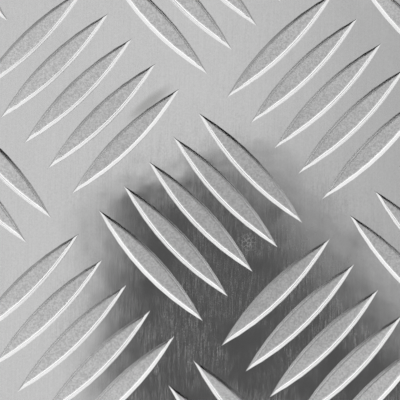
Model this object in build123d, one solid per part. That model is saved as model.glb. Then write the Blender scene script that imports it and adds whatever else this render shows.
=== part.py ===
"""Aluminium checker plate: a flat sheet with a raised five-bar tread, rolled in one piece.

The sheet lies flat. The origin is at the middle of its plain underside, +Z points up out of the
tread, +Y runs along the sheet, which is the way it was rolled, and +X runs across it.
Sizes are in millimetres and angles in degrees.
"""

from build123d import *
import os
from math import ceil, cos, radians, sin, sqrt

# Sheet, cut square from rolled stock
SHEET_WIDTH = 200.0
SHEET_LENGTH = 250.0
SHEET_THICKNESS = 3.0

# One tread bar, measured at its foot, where it meets the sheet
BAR_LENGTH = 30.6
BAR_WIDTH = 4.4
TREAD_HEIGHT = 1.0

# How far in from the foot the flat top starts, at the middle of a bar and at its tips
FLANK_RUN = 0.85
TIP_RUN = 1.9

# A group of bars lies on one diagonal, and the groups beside it on the other
BARS_IN_GROUP = 5
BAR_SPACING = 7.0
GROUP_GAP = 3.85
DIAGONAL_ANGLE = 46.0

# Where the cut left the pattern, as the place of the group nearest the middle of the sheet
PATTERN_SHIFT_X = 2.5
PATTERN_SHIFT_Y = -7.5

# Worked out from the sizes above
TOP_LENGTH = BAR_LENGTH - 2 * TIP_RUN
TOP_WIDTH = BAR_WIDTH - 2 * FLANK_RUN
GROUP_DEPTH = (BARS_IN_GROUP - 1) * BAR_SPACING + BAR_WIDTH
PATTERN_PITCH = sqrt(2) * (BAR_LENGTH / 2 + GROUP_GAP + GROUP_DEPTH / 2)
TOP_FACE = SHEET_THICKNESS


def lens(length, width):
    """A flat face between two equal arcs that meet in a point at each end."""
    left, right = (-length / 2, 0), (length / 2, 0)
    near_side = ThreePointArc(left, (0, -width / 2), right)
    far_side = ThreePointArc(right, (0, width / 2), left)
    return make_face([near_side, far_side])


def tread_bar():
    """One bar along X: flanks lean in from its pointed foot to a flat top, pointed as well."""
    foot = lens(BAR_LENGTH, BAR_WIDTH)
    top = Pos(0, 0, TREAD_HEIGHT) * lens(TOP_LENGTH, TOP_WIDTH)
    return loft([foot, top], ruled=True)


def group_places(diagonal):
    """The places of one group's bars about the group's middle. diagonal is 1 or -1."""
    step_x = BAR_SPACING * cos(radians(DIAGONAL_ANGLE))
    step_y = BAR_SPACING * sin(radians(DIAGONAL_ANGLE)) * -diagonal
    turn = Rot(0, 0, DIAGONAL_ANGLE * diagonal)
    middle = (BARS_IN_GROUP - 1) / 2
    return [Pos(step_x * (n - middle), step_y * (n - middle)) * turn for n in range(BARS_IN_GROUP)]


def pattern_places():
    """Every bar's place on the sheet's top face: falling groups on a square lattice, and rising
    groups in the middle of its squares."""
    start = Pos(PATTERN_SHIFT_X, PATTERN_SHIFT_Y, TOP_FACE)
    columns = ceil((SHEET_WIDTH / 2 + abs(PATTERN_SHIFT_X)) / PATTERN_PITCH) + 1
    rows = ceil((SHEET_LENGTH / 2 + abs(PATTERN_SHIFT_Y)) / PATTERN_PITCH) + 1
    places = []
    for column in range(-columns, columns + 1):
        for row in range(-rows, rows + 1):
            for diagonal, offset in ((-1, 0.0), (1, 0.5)):
                group = Pos((column + offset) * PATTERN_PITCH, (row + offset) * PATTERN_PITCH)
                places += [start * group * bar for bar in group_places(diagonal)]
    return places


def lies_inside(place, margin):
    """Whether a place is on the sheet and at least margin from every cut edge."""
    return (
        abs(place.position.X) + margin < SHEET_WIDTH / 2
        and abs(place.position.Y) + margin < SHEET_LENGTH / 2
    )


def tread():
    """All the bars on the sheet. Those that a cut edge crosses end flush with it."""
    bar = tread_bar()
    reach = BAR_LENGTH / 2
    above_sheet = Pos(0, 0, TOP_FACE + TREAD_HEIGHT / 2) * Box(SHEET_WIDTH, SHEET_LENGTH, TREAD_HEIGHT)
    bars = []
    for place in pattern_places():
        if lies_inside(place, reach):
            bars.append(place * bar)
        elif lies_inside(place, -reach):
            kept = (place * bar) & above_sheet
            bars += kept.solids() if kept else []
    return bars


def checker_plate():
    """The sheet and its tread as one solid."""
    sheet = Pos(0, 0, SHEET_THICKNESS / 2) * Box(SHEET_WIDTH, SHEET_LENGTH, SHEET_THICKNESS)
    return sheet + tread()


def main():
    os.makedirs("parts", exist_ok=True)
    export_step(checker_plate(), "parts/checker_plate.step")


main()
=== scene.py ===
"""Looks of the aluminium checker plate: its rolled tread, its finishes, and the light it lies in.

Metres, in the frame of the CAD part: the sheet lies on z = 0, +Y is its rolling direction and +Z
points out of the tread.
"""

import math

import bpy
from mathutils import Matrix, Vector


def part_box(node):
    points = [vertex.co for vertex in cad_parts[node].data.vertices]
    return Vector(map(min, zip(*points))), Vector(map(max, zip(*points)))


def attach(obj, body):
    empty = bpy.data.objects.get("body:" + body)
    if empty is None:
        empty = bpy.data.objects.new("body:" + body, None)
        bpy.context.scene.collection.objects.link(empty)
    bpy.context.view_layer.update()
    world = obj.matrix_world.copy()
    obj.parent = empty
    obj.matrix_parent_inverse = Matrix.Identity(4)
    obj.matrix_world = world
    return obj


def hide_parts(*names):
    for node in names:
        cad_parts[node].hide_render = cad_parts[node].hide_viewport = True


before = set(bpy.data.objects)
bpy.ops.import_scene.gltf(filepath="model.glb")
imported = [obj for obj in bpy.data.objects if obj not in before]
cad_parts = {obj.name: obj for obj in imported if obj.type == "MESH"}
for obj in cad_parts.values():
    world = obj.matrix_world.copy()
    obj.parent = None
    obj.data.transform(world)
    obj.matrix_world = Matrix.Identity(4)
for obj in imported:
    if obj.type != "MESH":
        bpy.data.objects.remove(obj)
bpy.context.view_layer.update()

MM = 0.001

# The sheet, from the CAD node
SHEET_LOW, SHEET_HIGH = (Vector(corner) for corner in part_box("checker_plate"))
TREAD_HEIGHT = 1.0 * MM
TOP_FACE = SHEET_HIGH.z - TREAD_HEIGHT

# One tread bar, measured at its foot, and how far in from the foot its flat top starts. At the tips
# that is further in than on the solid, because the ends of the tops are rounded here
BAR_LENGTH = 30.6 * MM
BAR_WIDTH = 4.4 * MM
FLANK_RUN = 0.85 * MM
TIP_RUN = 2.6 * MM
STEPS_ALONG_BAR = 8
MERGE_DISTANCE = 0.001 * MM

# The rolled profile of a flank, as shares of its run and of the tread's height: it leaves the sheet
# in a hollow, is steepest low down, and rounds over to the flat top
FLANK_PROFILE = [(-0.5, -0.3), (0.2, 0.12), (0.5, 0.78), (0.7, 0.94), (0.95, 1.0), (1.2, 1.0)]

# Folds sharper than this stay crisp: the cut edges and the ridges at the bars' tips
CRISP_ANGLE = math.radians(50)

# The pattern: falling groups on a square lattice, rising groups in the middle of its squares
BARS_IN_GROUP = 5
BAR_SPACING = 7.0 * MM
GROUP_GAP = 3.85 * MM
DIAGONAL_ANGLE = math.radians(46.0)
PATTERN_SHIFT = Vector((2.5 * MM, -7.5 * MM, 0))
GROUP_DEPTH = (BARS_IN_GROUP - 1) * BAR_SPACING + BAR_WIDTH
PATTERN_PITCH = math.sqrt(2) * (BAR_LENGTH / 2 + GROUP_GAP + GROUP_DEPTH / 2)

# How much larger the sheet starts than it is cut
EDGE_ALLOWANCE = 40 * MM

# The view: the pixel that shows the middle of the falling group nearest the middle of the sheet,
# the pattern's repeat in pixels, and how the camera stands
IMAGE_SIZE = 400
GROUP_PIXEL = (200.5, 216.5)
PIXELS_PER_PITCH = 251.0
PATTERN_ROLL = math.radians(1.12)
CAMERA_TILT = math.radians(10.0)
CAMERA_DISTANCE = 0.9
CAMERA_REACH = 100
SENSOR_WIDTH = 36.0

# Finishes, as roughness and as colour
BASE_ROUGHNESS = 0.1
SCUFF_ROUGHNESS = 0.36
FLANK_ROUGHNESS = 0.17
BAR_TOP_ROUGHNESS = 0.5
BURNISH_ROUGHNESS = 0.25
FRACTURE_ROUGHNESS = 0.6
UNDERSIDE_ROUGHNESS = 0.24
ROLLED_COLOUR = "#EFEFEF"
STREAK_COLOUR = "#E2E2E2"
FLANK_COLOUR = "#FAFAFA"
BAR_TOP_COLOUR = "#FCFCFC"
TOP_PIT_COLOUR = "#DFDFDF"
FRACTURE_COLOUR = "#C2C2C2"
STAIN_COLOUR = "#C6C6C5"

# Where one finish gives way to the next: heights above the sheet's face, depths below the bars'
# tops, a height above the underside, and a share of the way from the middle to the sheared edge
FLANK_START = 0.02 * MM
FLANK_FULL = 0.2 * MM
TOP_START = 0.06 * MM
TOP_FULL = 0.01 * MM
UNDERSIDE_HEIGHT = 0.01 * MM
EDGE_SHARE = 0.9999

# Marks that aren't in the mesh: how far apart they are and how high they stand. The view shows 0.2 mm
# to a pixel. Real streaks, scuffs and grain are finer than that, so they are drawn as coarse as one
# or two pixels, which is as coarse as they need to be to show
STREAK_WIDTH = 0.3 * MM
STREAK_LENGTH = 12 * MM
STREAK_HEIGHT = 0.001 * MM
WAVE_LENGTH = 14 * MM
WAVE_HEIGHT = 0.16 * MM
SCUFF_WIDTH = 0.22 * MM
SCUFF_LENGTH = 2.8 * MM
GRAIN_SIZE = 0.35 * MM
GRAIN_HEIGHT = 0.003 * MM
PATCH_SIZE = 9 * MM

# The middle of a noise pattern, and the levels of it between which scuffs and their patches set in,
# and between which the pits in the bars' tops end
NOISE_MIDDLE = 0.5
SCUFF_LEVELS = (0.38, 0.75)
PATCH_LEVELS = (0.3, 0.6)
PIT_LEVELS = (0.35, 0.65)

# How much the grain counts in the scuffs and in the sheet's colour, and the least that a patch is
# scuffed
SPECK_SHARE = 0.3
GRAIN_SHARE = 1.4
LEAST_SCUFFED = 0.1

# The scuffs are strongest round one worn place, and away from it they fall to this share
WORN_PLACE = Vector((16.0, -27.0, 3.0)) * MM
WORN_REACH = Vector((55.0, 36.0, 50.0)) * MM
LEAST_WORN = 0.4

# The sheared edge: vertical marks, and a burnished band whose lower side is ragged
SHEAR_LINE_WIDTH = 0.3 * MM
SHEAR_LINE_LENGTH = 8 * SHEAR_LINE_WIDTH
SHEAR_LINE_HEIGHT = 0.04 * MM
BURNISH_SHARE = 0.35
RAGGED_HEIGHT = 0.8 * MM
RAGGED_SOFTNESS = 0.05 * MM

# Crossed scratches between two bars of the middle group, drawn coarser than real ones, as the
# streaks are
SCRATCH_PLACE = Vector((12.0, -12.5, 3.0)) * MM
SCRATCH_REACH = Vector((2.6, 2.6, 2.6)) * MM
SCRATCH_SPACING = 0.9 * MM
SCRATCH_WIDTH = 0.1 * MM
SCRATCH_ROUGHNESS = 0.42

# A faint stain between two bars near the far left
STAIN_PLACE = Vector((-8.2, 15.4, 3.0)) * MM
STAIN_SIZE = Vector((7.0, 1.7, 4.0)) * MM
STAIN_TURN = math.radians(40)

# A spot is full within this share of its reach
SPOT_CORE = 0.2

# The floor: its colour, its roughness, and half of its side
FLOOR_COLOUR = "#E8E8E8"
FLOOR_ROUGHNESS = 0.9
FLOOR_REACH = 6.0

# Light, as its strength, and how far towards the near side (-Y) or the far side (+Y) a direction
# points where that strength begins and where it is full: 0 overhead, 1 level. Compass turns are
# from +Y towards +X
LIGHT_COLOUR = "#FFFFFF"
OVERHEAD_STRENGTH = 0.672
NEAR_STRENGTH = 1.17
NEAR_START = -0.12
NEAR_FULL = 0.37
FAR_STRENGTH = 0.16
FAR_START = 0.3
FAR_FULL = 1.0
FAR_TURN = math.radians(-5)

# The near side falls to this strength at the horizon, by how level a direction is: 0 overhead, 1
# at the horizon
HORIZON_STRENGTH = 1.0
HORIZON_START = 0.8
HORIZON_FULL = 0.97

# The dark gap in the far side: its compass turn, half its width and how soft its sides are, and how
# level a direction is where it begins and where it is full
GAP_TURN = math.radians(5)
GAP_HALF_WIDTH = math.radians(33.5)
GAP_SOFTNESS = math.radians(8)
GAP_START = 0.27
GAP_FULL = 0.42
GAP_DENSITY = 1.0

# A dark card over the plate. Its reach and its soft edges are in pixels of the view, by the part of
# the sheet that they darken. An edge has its middle and its width, and a density is how dark it is
FLAG_HEIGHT = 90 * MM
FLAG_COLOUR = "#000000"
FLAG_REACH = 300
FLAG_FADE = 90
FLAG_WEST_EDGE = 104
FLAG_WEST_SOFT = 80
FLAG_NORTH_EDGE = 165
FLAG_NORTH_SOFT = 24
FLAG_NORTH_SLOPE = 0.36
FLAG_EAST_EDGE = -107
FLAG_EAST_SOFT = 200
FLAG_DENSITY = 0.87
HAZE_EDGE = 350
HAZE_SOFT = 360
HAZE_DENSITY = 0.35


def linear(hex_colour):
    """An sRGB hex colour as linear RGBA."""
    parts = [int(hex_colour[place:place + 2], 16) / 255 for place in (1, 3, 5)]
    return tuple(p / 12.92 if p <= 0.04045 else ((p + 0.055) / 1.055) ** 2.4 for p in parts) + (1.0,)


def add(tree, kind, settings=None, inputs=None):
    """A new node in a tree, with its settings, and its inputs linked to sockets or set to values."""
    node = tree.nodes.new(kind)
    for name, value in (settings or {}).items():
        setattr(node, name, value)
    for key, value in (inputs or {}).items():
        if isinstance(value, bpy.types.NodeSocket):
            tree.links.new(value, node.inputs[key])
        else:
            node.inputs[key].default_value = value
    return node


def blank_material(name):
    """A new material and its tree, which is empty."""
    material = bpy.data.materials.new(name)
    material.use_nodes = True
    material.node_tree.nodes.clear()
    return material, material.node_tree


def level_square(name, half):
    """A square face on a level plane, as an object. half is half of its side."""
    mesh = bpy.data.meshes.new(name)
    corners = [(-half, -half, 0), (half, -half, 0), (half, half, 0), (-half, half, 0)]
    mesh.from_pydata(corners, [], [(0, 1, 2, 3)])
    square = bpy.data.objects.new(name, mesh)
    bpy.context.scene.collection.objects.link(square)
    return square


def bar_mesh(tree, size):
    """Nodes for one closed tread bar along X. A strip of faces is wrapped round the bar, from its
    sunken underside over one flank and the top, and down the other flank. Every line of the strip
    is half of a pointed lens between two arcs."""
    rows = 2 * len(FLANK_PROFILE) + 1
    strip = add(tree, "GeometryNodeMeshGrid",
                inputs={"Vertices X": STEPS_ALONG_BAR + 1, "Vertices Y": rows})
    place = add(tree, "ShaderNodeSeparateXYZ", inputs={0: strip.outputs["UV Map"]})

    # Which line of the profile a point is on, counted from the sunken edge, and on which side. Lines
    # have whole numbers, so any tolerance below 1 tells them apart
    row = add(tree, "ShaderNodeMath", {"operation": "MULTIPLY"}, {0: place.outputs["Y"], 1: rows - 1.0})
    row = add(tree, "ShaderNodeMath", {"operation": "ROUND"}, {0: row.outputs[0]})
    row = add(tree, "ShaderNodeMath", {"operation": "MODULO"}, {0: row.outputs[0], 1: rows - 1.0})
    counted_back = add(tree, "ShaderNodeMath", {"operation": "SUBTRACT"},
                       {0: rows - 2.0, 1: row.outputs[0]})
    line = add(tree, "ShaderNodeMath", {"operation": "MINIMUM"},
               {0: row.outputs[0], 1: counted_back.outputs[0]})
    side = add(tree, "ShaderNodeMath", {"operation": "COMPARE"},
               {0: line.outputs[0], 1: row.outputs[0], 2: 0.1})
    side = add(tree, "ShaderNodeMath", {"operation": "MULTIPLY_ADD"},
               {0: side.outputs[0], 1: -2.0, 2: 1.0})

    # How far in from the foot's outline each line is, and how high
    shares = []
    for column in (0, 1):
        share = add(tree, "GeometryNodeIndexSwitch", {"data_type": "FLOAT"})
        while len(share.index_switch_items) < len(FLANK_PROFILE):
            share.index_switch_items.new()
        tree.links.new(line.outputs[0], share.inputs["Index"])
        for number, point in enumerate(FLANK_PROFILE):
            share.inputs[number + 1].default_value = point[column]
        shares.append(share.outputs[0])
    inward, upward = shares
    height = add(tree, "ShaderNodeMath", {"operation": "MULTIPLY"}, {0: upward, 1: size["Tread height"]})
    half_length = add(tree, "ShaderNodeMath", {"operation": "MULTIPLY"}, {0: size["Bar length"], 1: 0.5})
    half_width = add(tree, "ShaderNodeMath", {"operation": "MULTIPLY"}, {0: size["Bar width"], 1: 0.5})
    off_length = add(tree, "ShaderNodeMath", {"operation": "MULTIPLY"}, {0: size["Tip run"], 1: inward})
    off_width = add(tree, "ShaderNodeMath", {"operation": "MULTIPLY"}, {0: size["Flank run"], 1: inward})
    half_length = add(tree, "ShaderNodeMath", {"operation": "SUBTRACT"},
                      {0: half_length.outputs[0], 1: off_length.outputs[0]})
    half_width = add(tree, "ShaderNodeMath", {"operation": "SUBTRACT"},
                     {0: half_width.outputs[0], 1: off_width.outputs[0]})

    # Each line is an arc about a centre on the bar's other side
    squares = add(tree, "ShaderNodeMath", {"operation": "MULTIPLY"},
                  {0: half_length.outputs[0], 1: half_length.outputs[0]})
    squares = add(tree, "ShaderNodeMath", {"operation": "MULTIPLY_ADD"},
                  {0: half_width.outputs[0], 1: half_width.outputs[0], 2: squares.outputs[0]})
    radius = add(tree, "ShaderNodeMath", {"operation": "DIVIDE"},
                 {0: squares.outputs[0], 1: half_width.outputs[0]})
    radius = add(tree, "ShaderNodeMath", {"operation": "MULTIPLY"}, {0: radius.outputs[0], 1: 0.5})
    centre = add(tree, "ShaderNodeMath", {"operation": "SUBTRACT"},
                 {0: radius.outputs[0], 1: half_width.outputs[0]})
    reach = add(tree, "ShaderNodeMath", {"operation": "DIVIDE"},
                {0: half_length.outputs[0], 1: radius.outputs[0]})
    reach = add(tree, "ShaderNodeMath", {"operation": "ARCSINE"}, {0: reach.outputs[0]})
    along = add(tree, "ShaderNodeMath", {"operation": "MULTIPLY_ADD"},
                {0: place.outputs["X"], 1: 2.0, 2: -1.0})
    angle = add(tree, "ShaderNodeMath", {"operation": "MULTIPLY"},
                {0: along.outputs[0], 1: reach.outputs[0]})
    sine = add(tree, "ShaderNodeMath", {"operation": "SINE"}, {0: angle.outputs[0]})
    cosine = add(tree, "ShaderNodeMath", {"operation": "COSINE"}, {0: angle.outputs[0]})
    x = add(tree, "ShaderNodeMath", {"operation": "MULTIPLY"}, {0: sine.outputs[0], 1: radius.outputs[0]})
    out = add(tree, "ShaderNodeMath", {"operation": "MULTIPLY"},
              {0: cosine.outputs[0], 1: radius.outputs[0]})
    out = add(tree, "ShaderNodeMath", {"operation": "SUBTRACT"}, {0: out.outputs[0], 1: centre.outputs[0]})
    y = add(tree, "ShaderNodeMath", {"operation": "MULTIPLY"}, {0: out.outputs[0], 1: side.outputs[0]})
    point = add(tree, "ShaderNodeCombineXYZ",
                inputs={"X": x.outputs[0], "Y": y.outputs[0], "Z": height.outputs[0]})
    shaped = add(tree, "GeometryNodeSetPosition",
                 inputs={"Geometry": strip.outputs["Mesh"], "Position": point.outputs[0]})
    return add(tree, "GeometryNodeMergeByDistance",
               inputs={"Geometry": shaped.outputs[0], "Distance": MERGE_DISTANCE})


def bar_groups(tree, size, bar, diagonal, offset):
    """Nodes for one lattice of groups. diagonal is -1 for falling bars and 1 for rising ones, and
    offset is the lattice's place in pitches."""
    turn = add(tree, "ShaderNodeMath", {"operation": "MULTIPLY"},
               {0: size["Diagonal angle"], 1: float(diagonal)})
    sine = add(tree, "ShaderNodeMath", {"operation": "SINE"}, {0: size["Diagonal angle"]})
    cosine = add(tree, "ShaderNodeMath", {"operation": "COSINE"}, {0: size["Diagonal angle"]})
    step_x = add(tree, "ShaderNodeMath", {"operation": "MULTIPLY"},
                 {0: cosine.outputs[0], 1: size["Bar spacing"]})
    step_y = add(tree, "ShaderNodeMath", {"operation": "MULTIPLY"},
                 {0: sine.outputs[0], 1: size["Bar spacing"]})
    step_y = add(tree, "ShaderNodeMath", {"operation": "MULTIPLY"},
                 {0: step_y.outputs[0], 1: -float(diagonal)})
    step = add(tree, "ShaderNodeCombineXYZ", inputs={"X": step_x.outputs[0], "Y": step_y.outputs[0]})

    # One group: a row of bars about its middle
    before = add(tree, "ShaderNodeMath", {"operation": "MULTIPLY_ADD"},
                 {0: size["Bars in group"], 1: -0.5, 2: 0.5})
    start = add(tree, "ShaderNodeVectorMath", {"operation": "SCALE"},
                {0: step.outputs[0], "Scale": before.outputs[0]})
    row = add(tree, "GeometryNodeMeshLine",
              inputs={"Count": size["Bars in group"], "Start Location": start.outputs[0],
                      "Offset": step.outputs[0]})
    heading = add(tree, "ShaderNodeCombineXYZ", inputs={"Z": turn.outputs[0]})
    group = add(tree, "GeometryNodeInstanceOnPoints",
                inputs={"Points": row.outputs[0], "Instance": bar.outputs[0],
                        "Rotation": heading.outputs[0]})
    group = add(tree, "GeometryNodeRealizeInstances", inputs={"Geometry": group.outputs[0]})

    # A lattice that covers the sheet, with a group to spare on each side
    counts = []
    spans = []
    for name in ("Sheet width", "Sheet length"):
        cells = add(tree, "ShaderNodeMath", {"operation": "DIVIDE"},
                    {0: size[name], 1: size["Pattern pitch"]})
        cells = add(tree, "ShaderNodeMath", {"operation": "MULTIPLY"}, {0: cells.outputs[0], 1: 0.5})
        cells = add(tree, "ShaderNodeMath", {"operation": "CEIL"}, {0: cells.outputs[0]})
        cells = add(tree, "ShaderNodeMath", {"operation": "MULTIPLY_ADD"},
                    {0: cells.outputs[0], 1: 2.0, 2: 2.0})
        span = add(tree, "ShaderNodeMath", {"operation": "MULTIPLY"},
                   {0: cells.outputs[0], 1: size["Pattern pitch"]})
        count = add(tree, "ShaderNodeMath", {"operation": "ADD"}, {0: cells.outputs[0], 1: 1.0})
        spans.append(span)
        counts.append(count)
    lattice = add(tree, "GeometryNodeMeshGrid",
                  inputs={"Size X": spans[0].outputs[0], "Size Y": spans[1].outputs[0],
                          "Vertices X": counts[0].outputs[0], "Vertices Y": counts[1].outputs[0]})
    aside = add(tree, "ShaderNodeMath", {"operation": "MULTIPLY"}, {0: size["Pattern pitch"], 1: offset})
    aside = add(tree, "ShaderNodeCombineXYZ", inputs={"X": aside.outputs[0], "Y": aside.outputs[0]})
    place = add(tree, "ShaderNodeVectorMath", {"operation": "ADD"},
                {0: aside.outputs[0], 1: size["Pattern shift"]})
    groups = add(tree, "GeometryNodeInstanceOnPoints",
                 inputs={"Points": lattice.outputs["Mesh"], "Instance": group.outputs[0]})
    return add(tree, "GeometryNodeTransform",
               inputs={"Geometry": groups.outputs[0], "Translation": place.outputs[0]})


def tread_tree(material):
    """The plate as a node tree: bars in crossed groups, joined to a sheet and cut square with it."""
    tree = bpy.data.node_groups.new("five-bar tread plate", "GeometryNodeTree")
    sizes = {
        "Sheet width": SHEET_HIGH.x - SHEET_LOW.x,
        "Sheet length": SHEET_HIGH.y - SHEET_LOW.y,
        "Sheet thickness": TOP_FACE - SHEET_LOW.z,
        "Bar length": BAR_LENGTH,
        "Bar width": BAR_WIDTH,
        "Tread height": TREAD_HEIGHT,
        "Flank run": FLANK_RUN,
        "Tip run": TIP_RUN,
        "Bars in group": BARS_IN_GROUP,
        "Bar spacing": BAR_SPACING,
        "Pattern pitch": PATTERN_PITCH,
        "Diagonal angle": DIAGONAL_ANGLE,
        "Pattern shift": PATTERN_SHIFT,
        "Edge allowance": EDGE_ALLOWANCE,
    }
    kinds = {int: "NodeSocketInt", float: "NodeSocketFloat", Vector: "NodeSocketVector"}
    for name, value in sizes.items():
        tree.interface.new_socket(name, in_out="INPUT", socket_type=kinds[type(value)])
    tree.interface.new_socket("Plate", in_out="OUTPUT", socket_type="NodeSocketGeometry")
    size = add(tree, "NodeGroupInput").outputs

    bar = bar_mesh(tree, size)
    falling = bar_groups(tree, size, bar, -1, 0.0)
    rising = bar_groups(tree, size, bar, 1, 0.5)
    bars = add(tree, "GeometryNodeJoinGeometry")
    tree.links.new(falling.outputs[0], bars.inputs[0])
    tree.links.new(rising.outputs[0], bars.inputs[0])
    bars = add(tree, "GeometryNodeRealizeInstances", inputs={"Geometry": bars.outputs[0]})
    up = add(tree, "ShaderNodeCombineXYZ", inputs={"Z": size["Sheet thickness"]})
    bars = add(tree, "GeometryNodeTransform",
               inputs={"Geometry": bars.outputs[0], "Translation": up.outputs[0]})

    # The sheet starts wider than the cut panel, and one cut makes all four sides
    half_up = add(tree, "ShaderNodeVectorMath", {"operation": "SCALE"}, {0: up.outputs[0], "Scale": 0.5})
    panel = add(tree, "ShaderNodeCombineXYZ",
                inputs={"X": size["Sheet width"], "Y": size["Sheet length"], "Z": size["Sheet thickness"]})
    spare = add(tree, "ShaderNodeCombineXYZ",
                inputs={"X": size["Edge allowance"], "Y": size["Edge allowance"]})
    wide = add(tree, "ShaderNodeVectorMath", {"operation": "ADD"},
               {0: panel.outputs[0], 1: spare.outputs[0]})
    sheet = add(tree, "GeometryNodeMeshCube", inputs={"Size": wide.outputs[0]})
    sheet = add(tree, "GeometryNodeTransform",
                inputs={"Geometry": sheet.outputs[0], "Translation": half_up.outputs[0]})
    rolled = add(tree, "GeometryNodeMeshBoolean", {"operation": "UNION", "solver": "MANIFOLD"})
    tree.links.new(sheet.outputs[0], rolled.inputs["Mesh 2"])
    tree.links.new(bars.outputs[0], rolled.inputs["Mesh 2"])
    above = add(tree, "ShaderNodeCombineXYZ", inputs={"Z": size["Edge allowance"]})
    cutter = add(tree, "ShaderNodeVectorMath", {"operation": "ADD"},
                 {0: panel.outputs[0], 1: above.outputs[0]})
    cutter = add(tree, "GeometryNodeMeshCube", inputs={"Size": cutter.outputs[0]})
    cut = add(tree, "GeometryNodeMeshBoolean", {"operation": "INTERSECT", "solver": "MANIFOLD"})
    tree.links.new(rolled.outputs[0], cut.inputs["Mesh 2"])
    tree.links.new(cutter.outputs[0], cut.inputs["Mesh 2"])

    # Blends shade smoothly, and sharp folds stay crisp
    fold = add(tree, "GeometryNodeInputMeshEdgeAngle")
    crisp = add(tree, "FunctionNodeCompare", {"data_type": "FLOAT", "operation": "GREATER_THAN"},
                {0: fold.outputs["Unsigned Angle"], 1: CRISP_ANGLE})
    smooth = add(tree, "GeometryNodeSetShadeSmooth", {"domain": "FACE"}, {"Geometry": cut.outputs[0]})
    crease = add(tree, "GeometryNodeSetShadeSmooth", {"domain": "EDGE"},
                 {"Geometry": smooth.outputs[0], "Selection": crisp.outputs[0], "Shade Smooth": False})
    real = add(tree, "GeometryNodeRealizeInstances", inputs={"Geometry": crease.outputs[0]})
    finish = add(tree, "GeometryNodeSetMaterial",
                 inputs={"Geometry": real.outputs[0], "Material": material})
    out = add(tree, "NodeGroupOutput")
    tree.links.new(finish.outputs[0], out.inputs["Plate"])
    return tree, sizes


def plain_mesh(obj, name):
    """The object's evaluated shape as a plain mesh object, in place of the object."""
    bpy.context.view_layer.update()
    mesh = bpy.data.meshes.new_from_object(obj.evaluated_get(bpy.context.evaluated_depsgraph_get()))
    mesh.name = name
    bpy.data.objects.remove(obj)
    made = bpy.data.objects.new(name, mesh)
    bpy.context.scene.collection.objects.link(made)
    return made


def spot(tree, place, middle, reach, turn):
    """Nodes for a soft oval spot: 1 near its middle, 0 beyond its reach, turned about Z."""
    aside = add(tree, "ShaderNodeVectorMath", {"operation": "SUBTRACT"}, {0: place, 1: middle})
    aside = add(tree, "ShaderNodeVectorRotate", {"rotation_type": "Z_AXIS"},
                {"Vector": aside.outputs[0], "Angle": -turn})
    aside = add(tree, "ShaderNodeVectorMath", {"operation": "DIVIDE"}, {0: aside.outputs[0], 1: reach})
    aside = add(tree, "ShaderNodeVectorMath", {"operation": "LENGTH"}, {0: aside.outputs[0]})
    return add(tree, "ShaderNodeMapRange", {"interpolation_type": "SMOOTHSTEP"},
               {"Value": aside.outputs["Value"], "From Min": 1.0, "From Max": SPOT_CORE})


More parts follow.
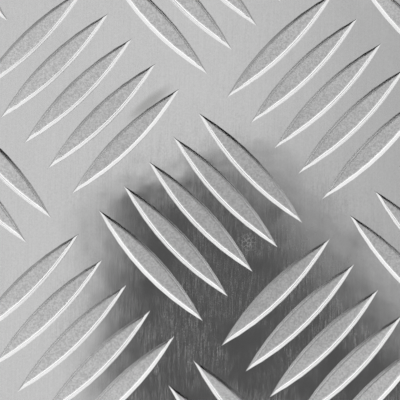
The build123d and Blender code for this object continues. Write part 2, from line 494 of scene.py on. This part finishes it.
def rolled_aluminium():
    """Aluminium sheet, mill finish, rolled between a plain and an engraved roll. The low face is
    bright and mirrors softly, with scuffs along the rolling direction, the bars' flat tops are
    matt from the roll's engraving, and the flanks lie between. The sheared edge is burnished above
    and torn below, and the underside has long rolling streaks."""
    material, tree = blank_material("rolled aluminium, mill finish")
    place = add(tree, "ShaderNodeTexCoord").outputs["Object"]
    height = add(tree, "ShaderNodeSeparateXYZ", inputs={0: place}).outputs["Z"]

    # Where a point lies: on a flank, on a bar's top, on the sheared edge or underneath
    on_bar = add(tree, "ShaderNodeMapRange", {"interpolation_type": "SMOOTHSTEP"},
                 {"Value": height, "From Min": TOP_FACE + FLANK_START, "From Max": TOP_FACE + FLANK_FULL})
    on_top = add(tree, "ShaderNodeMapRange", {"interpolation_type": "SMOOTHSTEP"},
                 {"Value": height, "From Min": SHEET_HIGH.z - TOP_START,
                  "From Max": SHEET_HIGH.z - TOP_FULL})
    share = add(tree, "ShaderNodeVectorMath", {"operation": "DIVIDE"}, {0: place, 1: SHEET_HIGH})
    share = add(tree, "ShaderNodeVectorMath", {"operation": "ABSOLUTE"}, {0: share.outputs[0]})
    share = add(tree, "ShaderNodeSeparateXYZ", inputs={0: share.outputs[0]})
    share = add(tree, "ShaderNodeMath", {"operation": "MAXIMUM"},
                {0: share.outputs["X"], 1: share.outputs["Y"]})
    on_edge = add(tree, "ShaderNodeMath", {"operation": "GREATER_THAN"},
                  {0: share.outputs[0], 1: EDGE_SHARE})
    underneath = add(tree, "ShaderNodeMath", {"operation": "LESS_THAN"}, {0: height, 1: UNDERSIDE_HEIGHT})

    # Rolling streaks, long and narrow along Y, waves of the sheet, patches and grain
    stretch = add(tree, "ShaderNodeVectorMath", {"operation": "MULTIPLY"},
                  {0: place, 1: (1 / STREAK_WIDTH, 1 / STREAK_LENGTH, 1 / STREAK_WIDTH)})
    streaks = add(tree, "ShaderNodeTexNoise",
                  inputs={"Vector": stretch.outputs[0], "Scale": 1.0, "Detail": 2.0})
    waves = add(tree, "ShaderNodeTexNoise",
                inputs={"Vector": place, "Scale": 1 / WAVE_LENGTH, "Detail": 2.5})
    clouds = add(tree, "ShaderNodeTexNoise",
                 inputs={"Vector": place, "Scale": 1 / PATCH_SIZE, "Detail": 3.0})
    grain = add(tree, "ShaderNodeTexNoise",
                inputs={"Vector": place, "Scale": 1 / GRAIN_SIZE, "Detail": 2.0})

    # Scuffs: short marks along the rolling direction that scatter the light, more in some places
    squeeze = add(tree, "ShaderNodeVectorMath", {"operation": "MULTIPLY"},
                  {0: place, 1: (1 / SCUFF_WIDTH, 1 / SCUFF_LENGTH, 1 / SCUFF_WIDTH)})
    marks = add(tree, "ShaderNodeTexNoise",
                inputs={"Vector": squeeze.outputs[0], "Scale": 1.0, "Detail": 4.0, "Roughness": 0.65})
    marks = add(tree, "ShaderNodeMath", {"operation": "MULTIPLY_ADD"},
                {0: grain.outputs[0], 1: SPECK_SHARE, 2: marks.outputs[0]})
    marks = add(tree, "ShaderNodeMapRange",
                inputs={"Value": marks.outputs[0], "From Min": SCUFF_LEVELS[0] + NOISE_MIDDLE * SPECK_SHARE,
                        "From Max": SCUFF_LEVELS[1] + NOISE_MIDDLE * SPECK_SHARE, "To Min": LEAST_SCUFFED})
    patches = add(tree, "ShaderNodeMapRange", {"interpolation_type": "SMOOTHSTEP"},
                  {"Value": clouds.outputs[0], "From Min": PATCH_LEVELS[0], "From Max": PATCH_LEVELS[1]})
    scuffs = add(tree, "ShaderNodeMath", {"operation": "MULTIPLY"},
                 {0: marks.outputs[0], 1: patches.outputs[0]})
    worn = spot(tree, place, WORN_PLACE, WORN_REACH, 0.0)
    worn = add(tree, "ShaderNodeMapRange", inputs={"Value": worn.outputs[0], "To Min": LEAST_WORN})
    scuffs = add(tree, "ShaderNodeMath", {"operation": "MULTIPLY"},
                 {0: scuffs.outputs[0], 1: worn.outputs[0]})

    # The sheared edge: the burnished band ends in a ragged line
    shear_line = add(tree, "ShaderNodeVectorMath", {"operation": "MULTIPLY"},
                     {0: place, 1: (1 / SHEAR_LINE_WIDTH, 1 / SHEAR_LINE_WIDTH, 1 / SHEAR_LINE_LENGTH)})
    shear_line = add(tree, "ShaderNodeTexNoise",
                     inputs={"Vector": shear_line.outputs[0], "Scale": 1.0, "Detail": 2.0})
    ragged = add(tree, "ShaderNodeMath", {"operation": "MULTIPLY_ADD"},
                 {0: clouds.outputs[0], 1: -RAGGED_HEIGHT, 2: height})
    burnish_end = TOP_FACE * (1 - BURNISH_SHARE) - NOISE_MIDDLE * RAGGED_HEIGHT
    torn = add(tree, "ShaderNodeMapRange", {"interpolation_type": "SMOOTHSTEP"},
               {"Value": ragged.outputs[0], "From Min": burnish_end + RAGGED_SOFTNESS,
                "From Max": burnish_end - RAGGED_SOFTNESS})
    torn = add(tree, "ShaderNodeMath", {"operation": "MULTIPLY"},
               {0: torn.outputs[0], 1: on_edge.outputs[0]})

    # Crossed scratches, as the edges of cells, in one small patch
    cells = add(tree, "ShaderNodeTexVoronoi", {"feature": "DISTANCE_TO_EDGE"},
                {"Vector": place, "Scale": 1 / SCRATCH_SPACING})
    scratches = add(tree, "ShaderNodeMapRange",
                    inputs={"Value": cells.outputs["Distance"], "From Min": SCRATCH_WIDTH / SCRATCH_SPACING,
                            "From Max": 0.0})
    patch = spot(tree, place, SCRATCH_PLACE, SCRATCH_REACH, 0.0)
    scratches = add(tree, "ShaderNodeMath", {"operation": "MULTIPLY"},
                    {0: scratches.outputs[0], 1: patch.outputs[0]})

    rough = add(tree, "ShaderNodeMix", {"data_type": "FLOAT"},
                {0: scuffs.outputs[0], 2: BASE_ROUGHNESS, 3: SCUFF_ROUGHNESS})
    rough = add(tree, "ShaderNodeMix", {"data_type": "FLOAT"},
                {0: scratches.outputs[0], 2: rough.outputs[0], 3: SCRATCH_ROUGHNESS})
    for where, value in ((on_bar, FLANK_ROUGHNESS), (on_top, BAR_TOP_ROUGHNESS),
                         (underneath, UNDERSIDE_ROUGHNESS), (on_edge, BURNISH_ROUGHNESS),
                         (torn, FRACTURE_ROUGHNESS)):
        rough = add(tree, "ShaderNodeMix", {"data_type": "FLOAT"},
                    {0: where.outputs[0], 2: rough.outputs[0], 3: value})

    # The sheet's colour, a little darker along the streaks and in the grain, and the bars' own
    stain = spot(tree, place, STAIN_PLACE, STAIN_SIZE, STAIN_TURN)
    tint = add(tree, "ShaderNodeMath", {"operation": "MULTIPLY_ADD"},
               {0: grain.outputs[0], 1: GRAIN_SHARE, 2: streaks.outputs[0]})
    tint = add(tree, "ShaderNodeMath", {"operation": "SUBTRACT"},
               {0: tint.outputs[0], 1: NOISE_MIDDLE * GRAIN_SHARE})
    colour = add(tree, "ShaderNodeMix", {"data_type": "RGBA"},
                 {"Factor": tint.outputs[0], "A": linear(ROLLED_COLOUR), "B": linear(STREAK_COLOUR)})
    colour = add(tree, "ShaderNodeMix", {"data_type": "RGBA"},
                 {"Factor": stain.outputs[0], "A": colour.outputs["Result"], "B": linear(STAIN_COLOUR)})
    clean = add(tree, "ShaderNodeMapRange",
                inputs={"Value": grain.outputs[0], "From Min": PIT_LEVELS[0], "From Max": PIT_LEVELS[1]})
    top_colour = add(tree, "ShaderNodeMix", {"data_type": "RGBA"},
                     {"Factor": clean.outputs[0], "A": linear(TOP_PIT_COLOUR),
                      "B": linear(BAR_TOP_COLOUR)})
    for where, value in ((on_bar, linear(FLANK_COLOUR)), (on_top, top_colour.outputs["Result"]),
                         (torn, linear(FRACTURE_COLOUR))):
        colour = add(tree, "ShaderNodeMix", {"data_type": "RGBA"},
                     {"Factor": where.outputs[0], "A": colour.outputs["Result"], "B": value})

    # Relief, in metres
    relief = add(tree, "ShaderNodeMath", {"operation": "MULTIPLY"},
                 {0: streaks.outputs[0], 1: STREAK_HEIGHT})
    relief = add(tree, "ShaderNodeMath", {"operation": "MULTIPLY_ADD"},
                 {0: waves.outputs[0], 1: WAVE_HEIGHT, 2: relief.outputs[0]})
    for where, pattern, size in ((on_top, grain, GRAIN_HEIGHT), (on_edge, shear_line, SHEAR_LINE_HEIGHT)):
        part = add(tree, "ShaderNodeMath", {"operation": "MULTIPLY"},
                   {0: pattern.outputs[0], 1: where.outputs[0]})
        relief = add(tree, "ShaderNodeMath", {"operation": "MULTIPLY_ADD"},
                     {0: part.outputs[0], 1: size, 2: relief.outputs[0]})
    bump = add(tree, "ShaderNodeBump", inputs={"Height": relief.outputs[0], "Distance": 1.0})
    shader = add(tree, "ShaderNodeBsdfPrincipled",
                 inputs={"Base Color": colour.outputs["Result"], "Metallic": 1.0,
                         "Roughness": rough.outputs[0], "Normal": bump.outputs[0]})
    out = add(tree, "ShaderNodeOutputMaterial")
    tree.links.new(shader.outputs[0], out.inputs["Surface"])
    return material


def checker_plate():
    """The plate's visible piece, in place of the CAD node."""
    material = rolled_aluminium()
    tree, sizes = tread_tree(material)
    mesh = bpy.data.meshes.new("blank")
    blank = bpy.data.objects.new("blank", mesh)
    bpy.context.scene.collection.objects.link(blank)
    modifier = blank.modifiers.new("tread", "NODES")
    modifier.node_group = tree
    for socket in tree.interface.items_tree:
        if socket.in_out == "INPUT":
            modifier[socket.identifier] = sizes[socket.name]
    plate = plain_mesh(blank, "checker_plate_finish")
    weighted = plate.modifiers.new("even faces", "WEIGHTED_NORMAL")
    weighted.keep_sharp = True
    plate = plain_mesh(plate, "checker_plate_skin")
    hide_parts("checker_plate")
    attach(plate, "root")


def floor():
    """A pale matt floor. The metal mirrors it as its plain colour, without the plate's shadow, which
    would turn the underside black."""
    obj = level_square("floor", FLOOR_REACH)
    material, tree = blank_material("floor, pale matt paint")
    paint = add(tree, "ShaderNodeBsdfPrincipled",
                inputs={"Base Color": linear(FLOOR_COLOUR), "Roughness": FLOOR_ROUGHNESS})
    plain = add(tree, "ShaderNodeEmission", inputs={"Color": linear(FLOOR_COLOUR), "Strength": 1.0})
    ray = add(tree, "ShaderNodeLightPath")
    shown = add(tree, "ShaderNodeMixShader",
                inputs={0: ray.outputs["Is Glossy Ray"], 1: paint.outputs[0], 2: plain.outputs[0]})
    out = add(tree, "ShaderNodeOutputMaterial")
    tree.links.new(shown.outputs[0], out.inputs["Surface"])
    obj.data.materials.append(material)


def camera_place():
    """Where the camera stands, and how wide a strip of the plate it sees. It looks almost straight
    down from a little to the near side, and is rolled with the pattern."""
    view_width = PATTERN_PITCH * IMAGE_SIZE / PIXELS_PER_PITCH
    turn = Matrix.Rotation(CAMERA_TILT, 4, "X") @ Matrix.Rotation(PATTERN_ROLL, 4, "Z")
    shown = Matrix.Translation((PATTERN_SHIFT.x, PATTERN_SHIFT.y, TOP_FACE))
    pixel = view_width / IMAGE_SIZE
    right = (GROUP_PIXEL[0] - IMAGE_SIZE / 2) * pixel
    up = (IMAGE_SIZE / 2 - GROUP_PIXEL[1]) * pixel
    return shown @ turn @ Matrix.Translation((-right, -up, CAMERA_DISTANCE)), view_width


def camera():
    """A long lens above the plate."""
    place, view_width = camera_place()
    data = bpy.data.cameras.new("camera")
    data.sensor_width = SENSOR_WIDTH
    data.lens = SENSOR_WIDTH * CAMERA_DISTANCE / view_width
    data.clip_end = CAMERA_REACH
    eye = bpy.data.objects.new("camera", data)
    eye.matrix_world = place
    bpy.context.scene.collection.objects.link(eye)
    bpy.context.scene.camera = eye


def mirrored(column, row, height):
    """The point that a pixel of the view sees in the sheet's top face, as in a mirror, on a level
    plane at that height above the face."""
    place, view_width = camera_place()
    pixel = view_width / IMAGE_SIZE
    eye = place.translation
    ray = Vector(((column - IMAGE_SIZE / 2) * pixel, (IMAGE_SIZE / 2 - row) * pixel, -CAMERA_DISTANCE))
    ray = place.to_3x3() @ ray
    met = eye + ray * (TOP_FACE - eye.z) / ray.z
    back = Vector((ray.x, ray.y, -ray.z))
    return met + back * height / back.z


def light():
    """A soft surround: pale overhead, bright on the near side and a little less so at its horizon,
    dim low on the far side, with a dark gap in the middle of the far side."""
    world = bpy.data.worlds.new("surround")
    bpy.context.scene.world = world
    world.use_nodes = True
    tree = world.node_tree
    tree.nodes.clear()
    way = add(tree, "ShaderNodeTexCoord").outputs["Generated"]
    far_way = Vector((math.sin(FAR_TURN), math.cos(FAR_TURN), 0))
    gap_way = Vector((math.sin(GAP_TURN), math.cos(GAP_TURN), 0))
    near = add(tree, "ShaderNodeVectorMath", {"operation": "DOT_PRODUCT"}, {0: way, 1: (0, -1, 0)})
    far = add(tree, "ShaderNodeVectorMath", {"operation": "DOT_PRODUCT"}, {0: way, 1: far_way})
    near_side = add(tree, "ShaderNodeMapRange", {"interpolation_type": "SMOOTHSTEP"},
                    {"Value": near.outputs["Value"], "From Min": NEAR_START, "From Max": NEAR_FULL,
                     "To Min": 0.0, "To Max": NEAR_STRENGTH - OVERHEAD_STRENGTH})
    far_side = add(tree, "ShaderNodeMapRange",
                   inputs={"Value": far.outputs["Value"], "From Min": FAR_START, "From Max": FAR_FULL,
                           "To Min": OVERHEAD_STRENGTH, "To Max": FAR_STRENGTH})

    # How level a direction is, and the near side's fall towards the horizon
    level = add(tree, "ShaderNodeVectorMath", {"operation": "MULTIPLY"}, {0: way, 1: (1, 1, 0)})
    low = add(tree, "ShaderNodeVectorMath", {"operation": "LENGTH"}, {0: level.outputs[0]})
    fall = (HORIZON_STRENGTH - OVERHEAD_STRENGTH) / (NEAR_STRENGTH - OVERHEAD_STRENGTH)
    horizon = add(tree, "ShaderNodeMapRange", {"interpolation_type": "SMOOTHSTEP"},
                  {"Value": low.outputs["Value"], "From Min": HORIZON_START, "From Max": HORIZON_FULL,
                   "To Min": 1.0, "To Max": fall})
    near_side = add(tree, "ShaderNodeMath", {"operation": "MULTIPLY"},
                    {0: near_side.outputs[0], 1: horizon.outputs[0]})
    strength = add(tree, "ShaderNodeMath", {"operation": "ADD"},
                   {0: near_side.outputs[0], 1: far_side.outputs[0]})

    # The gap, by compass direction, and only well away from the zenith
    compass = add(tree, "ShaderNodeVectorMath", {"operation": "NORMALIZE"}, {0: level.outputs[0]})
    compass = add(tree, "ShaderNodeVectorMath", {"operation": "DOT_PRODUCT"},
                  {0: compass.outputs[0], 1: gap_way})
    compass = add(tree, "ShaderNodeMapRange", {"interpolation_type": "SMOOTHSTEP"},
                  {"Value": compass.outputs["Value"], "From Min": math.cos(GAP_HALF_WIDTH + GAP_SOFTNESS),
                   "From Max": math.cos(GAP_HALF_WIDTH - GAP_SOFTNESS)})
    low = add(tree, "ShaderNodeMapRange", {"interpolation_type": "SMOOTHSTEP"},
              {"Value": low.outputs["Value"], "From Min": GAP_START, "From Max": GAP_FULL})
    gap = add(tree, "ShaderNodeMath", {"operation": "MULTIPLY"}, {0: compass.outputs[0], 1: low.outputs[0]})
    gap = add(tree, "ShaderNodeMath", {"operation": "MULTIPLY_ADD"},
              {0: gap.outputs[0], 1: -GAP_DENSITY, 2: 1.0})
    strength = add(tree, "ShaderNodeMath", {"operation": "MULTIPLY"},
                   {0: strength.outputs[0], 1: gap.outputs[0]})
    background = add(tree, "ShaderNodeBackground",
                     inputs={"Color": linear(LIGHT_COLOUR), "Strength": strength.outputs[0]})
    out = add(tree, "ShaderNodeOutputWorld")
    tree.links.new(background.outputs[0], out.inputs["Surface"])


def soft_edge(tree, place, across, along, edge, softness):
    """Nodes for a ramp from 0 to 1 over an edge. across and along are how much a pixel to the right
    and one down the view count, and edge is where the ramp is half way."""
    reach = add(tree, "ShaderNodeMath", {"operation": "MULTIPLY"}, {0: place.outputs["X"], 1: across})
    reach = add(tree, "ShaderNodeMath", {"operation": "MULTIPLY_ADD"},
                {0: place.outputs["Y"], 1: -along, 2: reach.outputs[0]})
    middle = IMAGE_SIZE / 2 * (across + along)
    return add(tree, "ShaderNodeMapRange", {"interpolation_type": "SMOOTHSTEP"},
               {"Value": reach.outputs[0], "From Min": edge - middle - softness / 2,
                "From Max": edge - middle + softness / 2})


def flag():
    """A dark card with soft edges, low over the plate. The camera doesn't see it and it throws no
    shadow, so it shows only where the metal mirrors it."""
    zenith = mirrored(IMAGE_SIZE / 2, IMAGE_SIZE / 2, FLAG_HEIGHT)
    pixel = (mirrored(IMAGE_SIZE, IMAGE_SIZE / 2, FLAG_HEIGHT) - zenith).length / (IMAGE_SIZE / 2)
    obj = level_square("flag", FLAG_REACH * pixel)
    obj.location = zenith
    obj.visible_camera = False
    obj.visible_diffuse = False
    obj.visible_shadow = False
    material, tree = blank_material("flag, black felt")
    place = add(tree, "ShaderNodeTexCoord").outputs["Object"]
    pixels = add(tree, "ShaderNodeVectorMath", {"operation": "SCALE"}, {0: place, "Scale": 1 / pixel})
    place = add(tree, "ShaderNodeSeparateXYZ", inputs={0: pixels.outputs[0]})

    # The card fades out towards its own rim
    reach = add(tree, "ShaderNodeVectorMath", {"operation": "ABSOLUTE"}, {0: pixels.outputs[0]})
    reach = add(tree, "ShaderNodeSeparateXYZ", inputs={0: reach.outputs[0]})
    reach = add(tree, "ShaderNodeMath", {"operation": "MAXIMUM"},
                {0: reach.outputs["X"], 1: reach.outputs["Y"]})
    rim = add(tree, "ShaderNodeMapRange", {"interpolation_type": "SMOOTHSTEP"},
              {"Value": reach.outputs[0], "From Min": FLAG_REACH, "From Max": FLAG_REACH - FLAG_FADE})

    # The dark part lies within three soft edges, and a thin haze spreads beyond it
    west = soft_edge(tree, place, 1.0, 0.0, FLAG_WEST_EDGE, FLAG_WEST_SOFT)
    north_edge = FLAG_NORTH_EDGE + IMAGE_SIZE / 2 * FLAG_NORTH_SLOPE
    north = soft_edge(tree, place, FLAG_NORTH_SLOPE, 1.0, north_edge, FLAG_NORTH_SOFT)
    east = soft_edge(tree, place, -1.0, 1.0, FLAG_EAST_EDGE, FLAG_EAST_SOFT)
    haze = soft_edge(tree, place, 1.0, 0.0, HAZE_EDGE, HAZE_SOFT)
    dark = add(tree, "ShaderNodeMath", {"operation": "MULTIPLY"}, {0: west.outputs[0], 1: north.outputs[0]})
    dark = add(tree, "ShaderNodeMath", {"operation": "MULTIPLY"}, {0: dark.outputs[0], 1: east.outputs[0]})
    dark = add(tree, "ShaderNodeMath", {"operation": "MULTIPLY"}, {0: dark.outputs[0], 1: FLAG_DENSITY})
    haze = add(tree, "ShaderNodeMath", {"operation": "MULTIPLY"}, {0: haze.outputs[0], 1: HAZE_DENSITY})
    density = add(tree, "ShaderNodeMath", {"operation": "MAXIMUM"},
                  {0: dark.outputs[0], 1: haze.outputs[0]})
    density = add(tree, "ShaderNodeMath", {"operation": "MULTIPLY"},
                  {0: density.outputs[0], 1: rim.outputs[0]})
    clear = add(tree, "ShaderNodeBsdfTransparent")
    felt = add(tree, "ShaderNodeEmission", inputs={"Color": linear(FLAG_COLOUR), "Strength": 0.0})
    mixed = add(tree, "ShaderNodeMixShader",
                inputs={0: density.outputs[0], 1: clear.outputs[0], 2: felt.outputs[0]})
    out = add(tree, "ShaderNodeOutputMaterial")
    tree.links.new(mixed.outputs[0], out.inputs["Surface"])
    obj.data.materials.append(material)


checker_plate()
floor()
camera()
light()
flag()
bpy.context.scene.view_settings.view_transform = "Standard"
